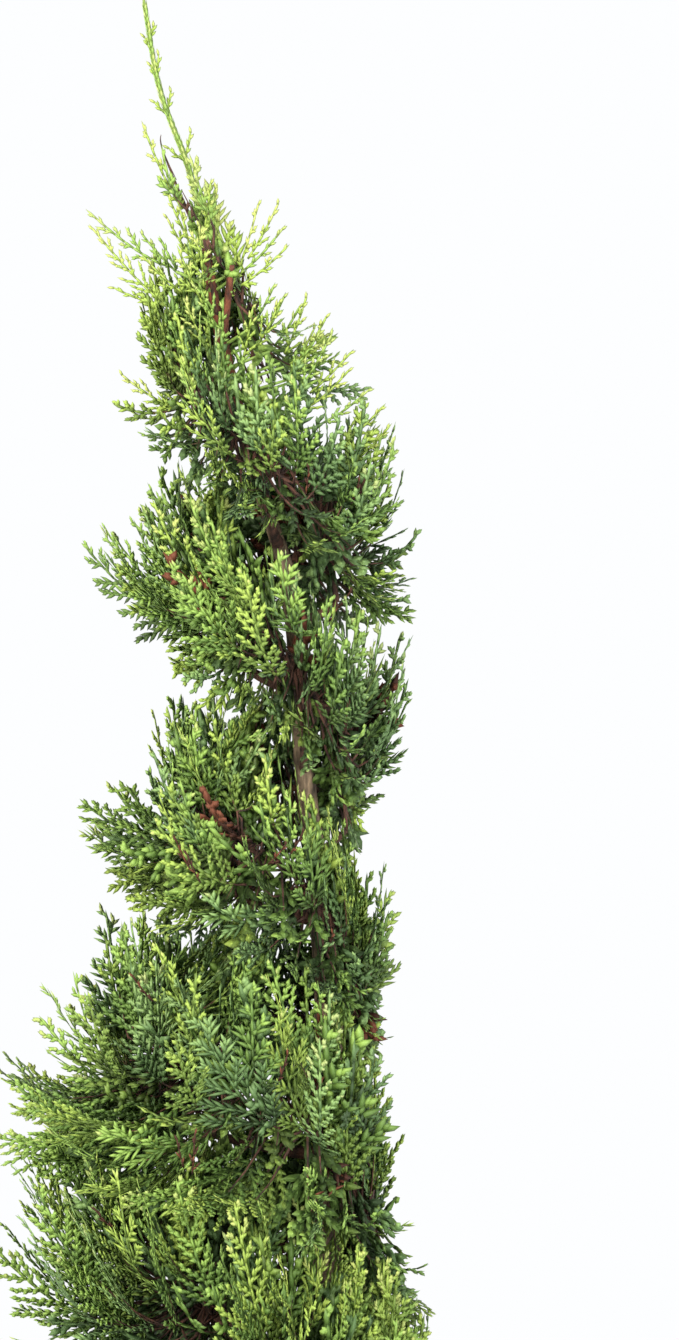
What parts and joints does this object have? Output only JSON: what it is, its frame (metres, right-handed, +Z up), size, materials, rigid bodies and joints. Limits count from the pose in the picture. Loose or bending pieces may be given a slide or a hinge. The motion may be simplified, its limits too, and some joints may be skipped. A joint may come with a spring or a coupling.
{
  "type": "potted spiral topiary",
  "caption": "Evergreen cypress clipped into a rising spiral of feathery sprays round a slender trunk, with an unclipped leader, in a plain round clay pot.",
  "frame": {"origin": "middle of the pot's flat underside, where it stands", "axes": "+Z up the plant; +Y away from the viewer of the pictured side; +X to that viewer's right"},
  "size_m": [0.2566, 0.2529, 1.25],
  "materials": {
    "pot": "unglazed fired clay",
    "potting_mix": "moist composted bark",
    "bark": "rough grey-brown bark",
    "young_bark": "red-brown young bark",
    "foliage": "scale-leaved green sprays",
    "leader_foliage": "scale-leaved yellow-green sprays"
  },
  "bodies": {
    "root": {"pot": "pot", "potting_mix": "potting_mix", "trunk": "bark", "cut_stub": "young_bark", "foliage_turn_0_left": "foliage", "foliage_turn_1_front": "foliage", "foliage_turn_1_right": "foliage", "foliage_turn_1_back": "foliage", "foliage_turn_1_left": "foliage", "foliage_turn_2_front": "foliage", "foliage_turn_2_right": "foliage", "bough_turn_2_back": "young_bark", "foliage_turn_2_back": "foliage", "bough_turn_2_left": "young_bark", "foliage_turn_2_left": "foliage", "foliage_turn_3_front": "foliage", "foliage_turn_3_right": "foliage", "bough_turn_3_back": "young_bark", "foliage_turn_3_back": "foliage", "bough_turn_3_left": "young_bark", "foliage_turn_3_left": "foliage", "foliage_turn_4_front": "foliage", "foliage_turn_4_right": "foliage", "bough_turn_4_back": "young_bark", "foliage_turn_4_back": "foliage", "bough_turn_4_left": "young_bark", "foliage_turn_4_left": "foliage", "foliage_turn_5_front": "foliage", "foliage_turn_5_right": "foliage", "bough_turn_5_back": "young_bark", "foliage_turn_5_back": "foliage", "bough_turn_5_left": "young_bark", "foliage_turn_5_left": "foliage", "bough_turn_6_front": "young_bark", "foliage_turn_6_front": "foliage", "foliage_turn_6_right": "foliage", "bough_turn_6_back": "young_bark", "foliage_turn_6_back": "foliage", "bough_turn_6_left": "young_bark", "foliage_turn_6_left": "foliage", "bough_turn_7_front": "young_bark", "foliage_turn_7_front": "foliage", "bough_turn_7_right": "young_bark", "foliage_turn_7_right": "foliage", "bough_turn_7_back": "young_bark", "foliage_turn_7_back": "foliage", "bough_turn_7_left": "young_bark", "foliage_turn_7_left": "foliage", "bough_turn_8_front": "young_bark", "foliage_turn_8_front": "foliage", "leader_foliage": "leader_foliage"}
  },
  "joints": []
}
